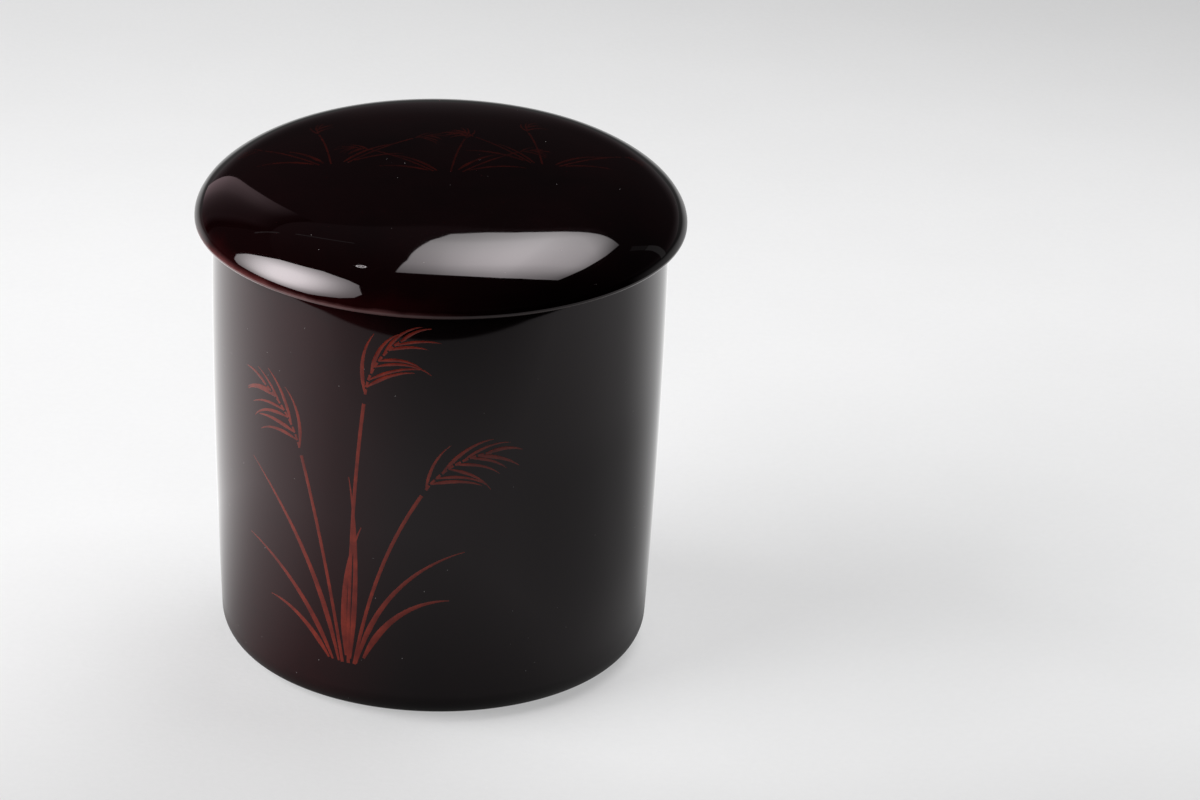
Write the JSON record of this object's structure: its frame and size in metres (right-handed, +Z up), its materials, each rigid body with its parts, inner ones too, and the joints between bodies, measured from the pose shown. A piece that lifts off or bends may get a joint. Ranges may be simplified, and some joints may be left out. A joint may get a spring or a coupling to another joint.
{
  "type": "tea caddy",
  "caption": "Round lacquered tea caddy: a turned wooden cup with a slight taper and a neck ring, and an overhanging domed lid that lifts off.",
  "frame": {"origin": "centre of the foot ring, in the plane that the caddy stands on", "axes": "+Z up along the turning axis, -Y towards the painted side, +X to that side's right"},
  "size_m": [0.0728, 0.0728, 0.0779],
  "materials": {
    "turned_wood": "fine turned, unseen under the lacquer",
    "red_black_lacquer": "polished translucent red-brown lacquer over black",
    "black_lacquer": "polished black lacquer"
  },
  "bodies": {
    "body": {"body_core": "turned_wood", "body_outer_lacquer": "red_black_lacquer", "base_lacquer": "black_lacquer", "body_lining": "black_lacquer", "neck_ring": "black_lacquer"},
    "lid": {"lid_core": "turned_wood", "lid_outer_lacquer": "red_black_lacquer", "lid_lining": "black_lacquer"}
  },
  "joints": [
    {"name": "lid_lift", "type": "slide", "parent": "body", "child": "lid", "axis": [0, 0, 1], "range_m": [0, 0.08]}
  ]
}
